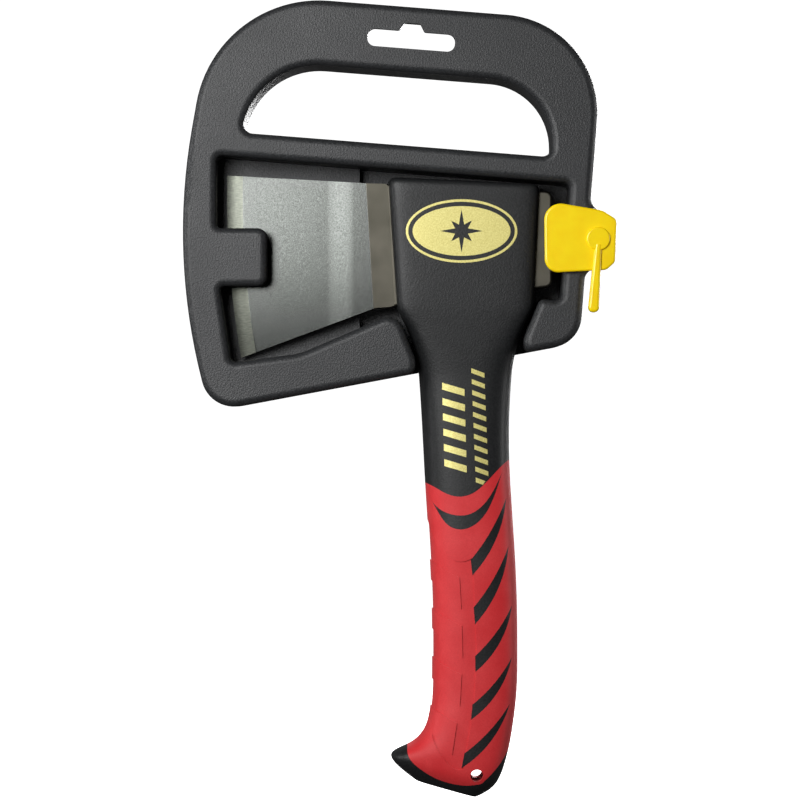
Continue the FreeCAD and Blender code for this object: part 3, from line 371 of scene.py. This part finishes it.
def pad_print_ink():
    material, where = new_material("gold_pad_print_ink")
    flake = noise(material, where, 0.5, 2.0)
    colour = ramp(material, flake, (0.3, "#c9bd6a"), (0.7, "#e2d98c"))
    return surface(material, Base_Color=colour, Roughness=0.42, Metallic=0.25)


gold_ink = pad_print_ink()


def grid_faces(rows, columns, closed):
    """Quads of a grid of rows and columns; closed joins the last column to the first."""
    last = columns if closed else columns - 1
    row, column = np.meshgrid(np.arange(rows - 1), np.arange(last), indexing="ij")
    after = (column + 1) % columns
    corners = [row * columns + column, row * columns + after,
               (row + 1) * columns + after, (row + 1) * columns + column]
    return np.stack(corners, axis=-1).reshape(-1, 4)


def between(inner, outer, rows, closed=True):
    """Flat grid from one outline to another: each row lies a share further out."""
    share = np.linspace(0, 1, rows)[:, None, None]
    points = inner[None] * (1 - share) + outer[None] * share
    return points.reshape(-1, 2), grid_faces(rows, len(inner), closed)


def joined(patches):
    """Puts several flat grids into one list of points and one of faces."""
    points, faces, start = [], [], 0
    for patch_points, patch_faces in patches:
        points.append(patch_points)
        faces.append(patch_faces + start)
        start += len(patch_points)
    return np.concatenate(points), np.concatenate(faces)


def printed(name, patches):
    """Film on the front of the handle: pressed on along Y, then given its thickness."""
    flat, faces = joined(patches)
    points = np.column_stack([flat[:, 0], np.full(len(flat), SHEET_Y), flat[:, 1]])
    mesh = bpy.data.meshes.new(name)
    mesh.from_pydata(points, [], faces.tolist())
    film = bpy.data.objects.new(name, mesh)
    bpy.context.scene.collection.objects.link(film)
    press = film.modifiers.new("press", "SHRINKWRAP")
    press.target = nodes["handle_body"]
    press.wrap_method = "PROJECT"
    press.use_project_y = True
    press.use_negative_direction = False
    press.use_positive_direction = True
    press.offset = 0
    pressed = bpy.data.meshes.new_from_object(
        film.evaluated_get(bpy.context.evaluated_depsgraph_get()))
    film.modifiers.clear()
    film.data = thickened(pressed, name)
    film.data.materials.append(gold_ink)
    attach(film, "axe")
    print(name, len(film.data.polygons), "faces")
    return film


def thickened(mesh, name):
    """Closed film from a pressed sheet: its front and back lie a little way out along -Y, and
    a strip along the open edges joins them."""
    count = len(mesh.vertices)
    points = np.empty(count * 3)
    mesh.vertices.foreach_get("co", points)
    points = points.reshape(-1, 3)
    faces = np.array([list(p.vertices) for p in mesh.polygons])
    back = points - (0, FILM_LIFT, 0)
    front = points - (0, FILM_LIFT + FILM_THICKNESS, 0)
    edges = np.stack([faces, np.roll(faces, -1, axis=1)], axis=-1).reshape(-1, 2)
    key = np.sort(edges, axis=1)
    _, index, uses = np.unique(key, axis=0, return_index=True, return_counts=True)
    rim = edges[index[uses == 1]]
    strip = np.column_stack([rim[:, 1], rim[:, 0], rim[:, 0] + count, rim[:, 1] + count])
    closed = bpy.data.meshes.new(name + "_film")
    closed.from_pydata(np.concatenate([back, front]), [],
                       np.concatenate([faces[:, ::-1], faces + count, strip]).tolist())
    closed.update()
    return closed


# %% [markdown]
# The badge is an oval border and an oval field with a compass star left out of it. Both are
# grids between outlines: an ellipse is cosine and sine of one angle, and the star's radius goes
# up and down four times round, long and short points in turn.

# %% Badge
BADGE_MIDDLE = np.array([18.4, -69.6]) * MM
BADGE_HALF = np.array([20.4, 11.6]) * MM
BORDER = 0.9 * MM
MARGIN = 1.6 * MM
STAR = (7.8 * MM, 5.4 * MM, 2.5 * MM)
around = np.linspace(0, 2 * math.pi, 192, endpoint=False)


def ellipse(half):
    """Points of an ellipse: cosine and sine of the angle times its half axes."""
    return BADGE_MIDDLE + np.column_stack([np.cos(around), -np.sin(around)]) * half


def star(long_point, short_point, waist):
    """Compass star: in each eighth of a turn the radius goes straight from a point to the
    waist, and the points are long and short in turn."""
    eighth = around / (math.pi / 4)
    nearest = np.round(eighth)
    share = np.abs(eighth - nearest) * 2
    tip = np.where(nearest % 2 == 0, long_point, short_point)
    radius = tip * waist / (tip * share + waist * (1 - share))
    return BADGE_MIDDLE + np.column_stack([np.cos(around), -np.sin(around)]) * radius[:, None]


field = between(star(*STAR), ellipse(BADGE_HALF - BORDER - MARGIN), 9)
border = between(ellipse(BADGE_HALF - BORDER), ellipse(BADGE_HALF), 3)
badge = printed("eye_badge_print", [border, field])

# %% [markdown]
# The bars along the neck are slanted strips. Each is a grid between its two long sides.


# %% Bars along the neck
BAR_COLUMNS = 12
BAR_DRIFT = 0.16                    # mm sideways from bar to bar, as the neck leans
# each row: number of bars, first middle (X, Z), step down, half length, half width and slant, mm
BAR_ROWS = [(11, 24.4, -121.5, 4.0, 2.4, 0.85, -0.9),
            (6, 15.4, -127.5, 5.6, 4.1, 1.25, -1.2)]


def bar(middle, half_long, half_wide, slant):
    """Slanted bar lying across the neck: its ends are shifted up and down by the slant."""
    x = np.linspace(-half_long, half_long, BAR_COLUMNS)
    rise = x / half_long * slant
    low = np.column_stack([middle[0] + x, middle[1] + rise - half_wide])
    high = np.column_stack([middle[0] + x, middle[1] + rise + half_wide])
    return between(low, high, 3, closed=False)


bars = []
for number, first_x, first_z, step, half_long, half_wide, slant in BAR_ROWS:
    for count in range(number):
        middle = np.array([first_x + count * BAR_DRIFT, first_z - count * step]) * MM
        bars.append(bar(middle, half_long * MM, half_wide * MM, slant * MM))
neck_marks = printed("neck_bars_print", bars)

# %% [markdown]
# ## Floor, light and camera
#
# The hatchet is shown in front of plain white, so the floor is pale and the world behind it is
# white. A soft light close to the left of the front gives the sheen and falls off towards the
# right, one far out on the left draws the edges, and the world itself adds only a little, so that
# the far sides stay dark. The same lights turned half way round serve the back.

# %% Stage
FLOOR_DROP = 8 * MM
FLOOR_REACH = 12.0


def pale_floor():
    material, where = new_material("pale_studio_floor")
    cloud = noise(material, where, 300.0)
    colour = ramp(material, cloud, (0.3, "#f4f4f4"), (0.7, "#f8f8f8"))
    return surface(material, Base_Color=colour, Roughness=0.9, Emission_Color=linear("#ffffff"),
                   Emission_Strength=1.1)


floor_z = cad_box[0][2] - FLOOR_DROP
corners = [(x * FLOOR_REACH, y * FLOOR_REACH, floor_z)
           for x, y in ((-1, -1), (1, -1), (1, 1), (-1, 1))]
floor_mesh = bpy.data.meshes.new("floor")
floor_mesh.from_pydata(corners, [], [(0, 1, 2, 3)])
floor = bpy.data.objects.new("floor", floor_mesh)
bpy.context.scene.collection.objects.link(floor)
floor.data.materials.append(pale_floor())
floor.visible_diffuse = False
floor.visible_glossy = False


def softbox(name, place, target, size, watts):
    """A square light at a place, turned to a target."""
    lamp = bpy.data.lights.new(name, "AREA")
    lamp.energy = watts
    lamp.size = size
    holder = bpy.data.objects.new(name, lamp)
    bpy.context.scene.collection.objects.link(holder)
    aim = np.array(target) - np.array(place)
    flat = math.hypot(aim[0], aim[1])
    holder.location = place
    holder.rotation_euler = (math.pi / 2 + math.atan2(aim[2], flat), 0,
                             math.atan2(aim[1], aim[0]) - math.pi / 2)
    return holder


MIDDLE = (0.0, 0.0, -0.13)
# each light: place, size in metres and power in watts
LIGHTS = {"key": ((-0.24, -0.58, 0.04), 0.26, 4.2),
          "side": ((-0.70, -0.12, 0.00), 0.30, 1.8),
          "fill": ((0.8, -0.8, -0.1), 0.7, 0.1)}
for name, (place, size, watts) in LIGHTS.items():
    softbox(name, place, MIDDLE, size, watts)
for name, (place, size, watts) in LIGHTS.items():
    softbox("back_" + name, (-place[0], -place[1], place[2]), MIDDLE, size, watts)

WORLD_SEEN = 1.1                    # strength of the white behind the hatchet
WORLD_LIGHT = 0.06                  # strength of the light that the world adds
world = bpy.data.worlds.new("white_room")
bpy.context.scene.world = world
world.use_nodes = True
tree = world.node_tree
background = tree.nodes["Background"]
seen = tree.nodes.new("ShaderNodeLightPath")
level = tree.nodes.new("ShaderNodeMapRange")
level.inputs["To Min"].default_value = WORLD_LIGHT
level.inputs["To Max"].default_value = WORLD_SEEN
tree.links.new(seen.outputs["Is Camera Ray"], level.inputs["Value"])
tree.links.new(level.outputs["Result"], background.inputs["Strength"])
background.inputs["Color"].default_value = (1, 1, 1, 1)
bpy.context.scene.view_settings.view_transform = "Standard"

# %% Camera
DISTANCE = 1.4
SEEN_WIDTH = 292 * MM
SENSOR = 36.0
FRONT_FACE = 15 * MM
camera = bpy.data.objects.new("camera", bpy.data.cameras.new("camera"))
bpy.context.scene.collection.objects.link(camera)
camera.data.sensor_width = SENSOR
camera.data.lens = SENSOR * (DISTANCE - FRONT_FACE) / SEEN_WIDTH
camera.location = (-4.1 * MM, -DISTANCE, -131.4 * MM)
camera.rotation_euler = (math.pi / 2, 0, 0)
bpy.context.scene.camera = camera
print("lens:", round(camera.data.lens, 1), "mm")
